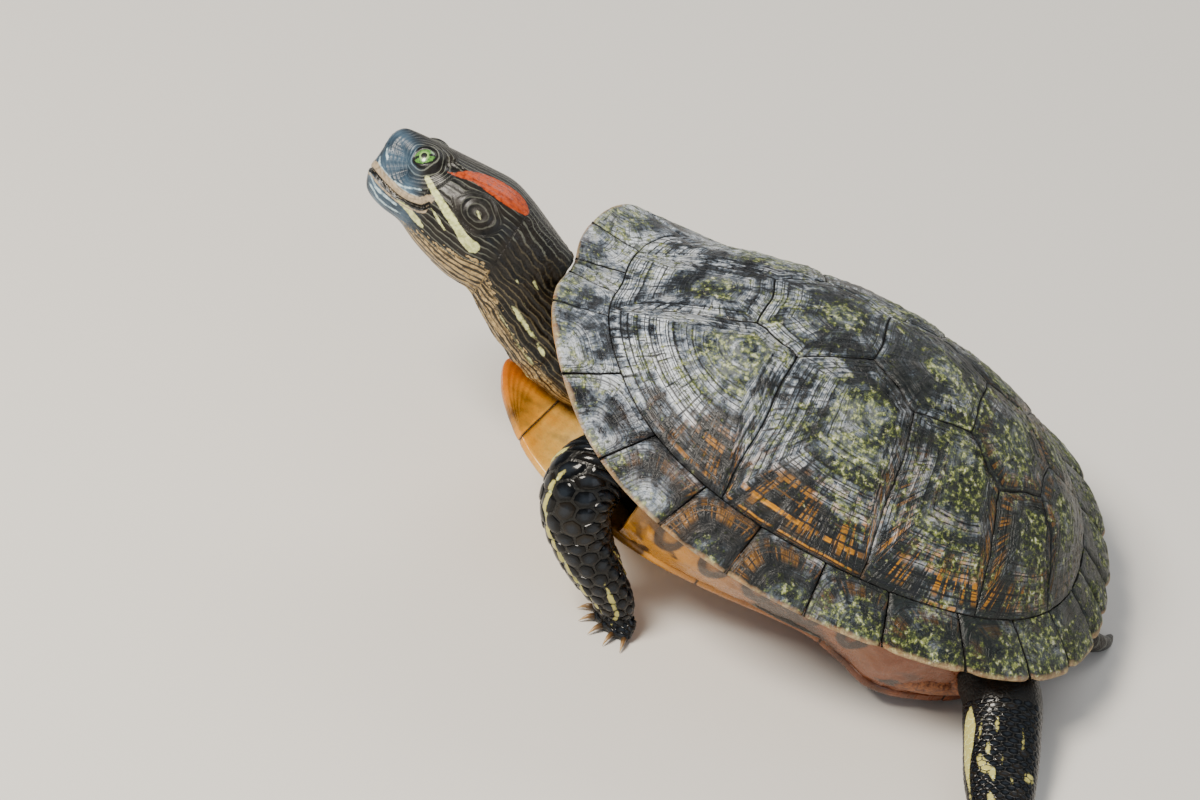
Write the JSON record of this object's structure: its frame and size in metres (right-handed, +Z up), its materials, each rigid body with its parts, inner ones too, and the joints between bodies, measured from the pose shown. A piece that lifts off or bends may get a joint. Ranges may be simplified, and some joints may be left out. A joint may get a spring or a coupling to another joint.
{
  "type": "red-eared slider turtle",
  "caption": "Life-size still model of a red-eared slider with forequarters raised, head and neck stretched out and one hind leg trailing; it rests on its feet, tail and rear plastron",
  "frame": {"origin": "on the ground under the hind edge of the plastron, in the middle of the flat that carries the rear", "axes": "+Z up from the ground; the shell's long axis lies over X with the head towards -X; the animal's left side towards -Y"},
  "size_m": [0.2987, 0.2532, 0.1384],
  "materials": {
    "carapace": "dull horn scutes, slate black with worn growth rings and algae",
    "marginals": "dull horn scutes, slate with pale orange rims and blotched undersides",
    "plastron": "smooth horn, yellow-orange with dark blotches",
    "skin": "scaly skin, black-brown with pale yellow stripes and a red patch behind the eye",
    "eye": "wet eye, pale green iris crossed by a black bar"
  },
  "bodies": {
    "root": {"nuchal": "carapace", "vertebral_1": "carapace", "vertebral_2": "carapace", "vertebral_3": "carapace", "vertebral_4": "carapace", "vertebral_5": "carapace", "costal_left_1": "carapace", "costal_left_2": "carapace", "costal_left_3": "carapace", "costal_left_4": "carapace", "costal_right_1": "carapace", "costal_right_2": "carapace", "costal_right_3": "carapace", "costal_right_4": "carapace", "marginals_left_front": "marginals", "marginals_left_side": "marginals", "marginals_left_rear": "marginals", "marginals_right_front": "marginals", "marginals_right_side": "marginals", "marginals_right_rear": "marginals", "plastron_gular": "plastron", "plastron_humeral": "plastron", "plastron_pectoral": "plastron", "plastron_abdominal": "plastron", "plastron_femoral": "plastron", "plastron_anal": "plastron", "bridge_left": "plastron", "bridge_right": "plastron", "trunk": "skin", "neck": "skin", "head": "skin", "jaw_lower": "skin", "tail": "skin", "foreleg_left_upper": "skin", "foreleg_left_lower": "skin", "foreleg_left_foot": "skin", "foreleg_right_upper": "skin", "foreleg_right_lower": "skin", "foreleg_right_foot": "skin", "hindleg_left_upper": "skin", "hindleg_left_lower": "skin", "hindleg_left_foot": "skin", "hindleg_right_upper": "skin", "hindleg_right_lower": "skin", "hindleg_right_foot": "skin", "eye_left": "eye", "eye_right": "eye"}
  },
  "joints": []
}
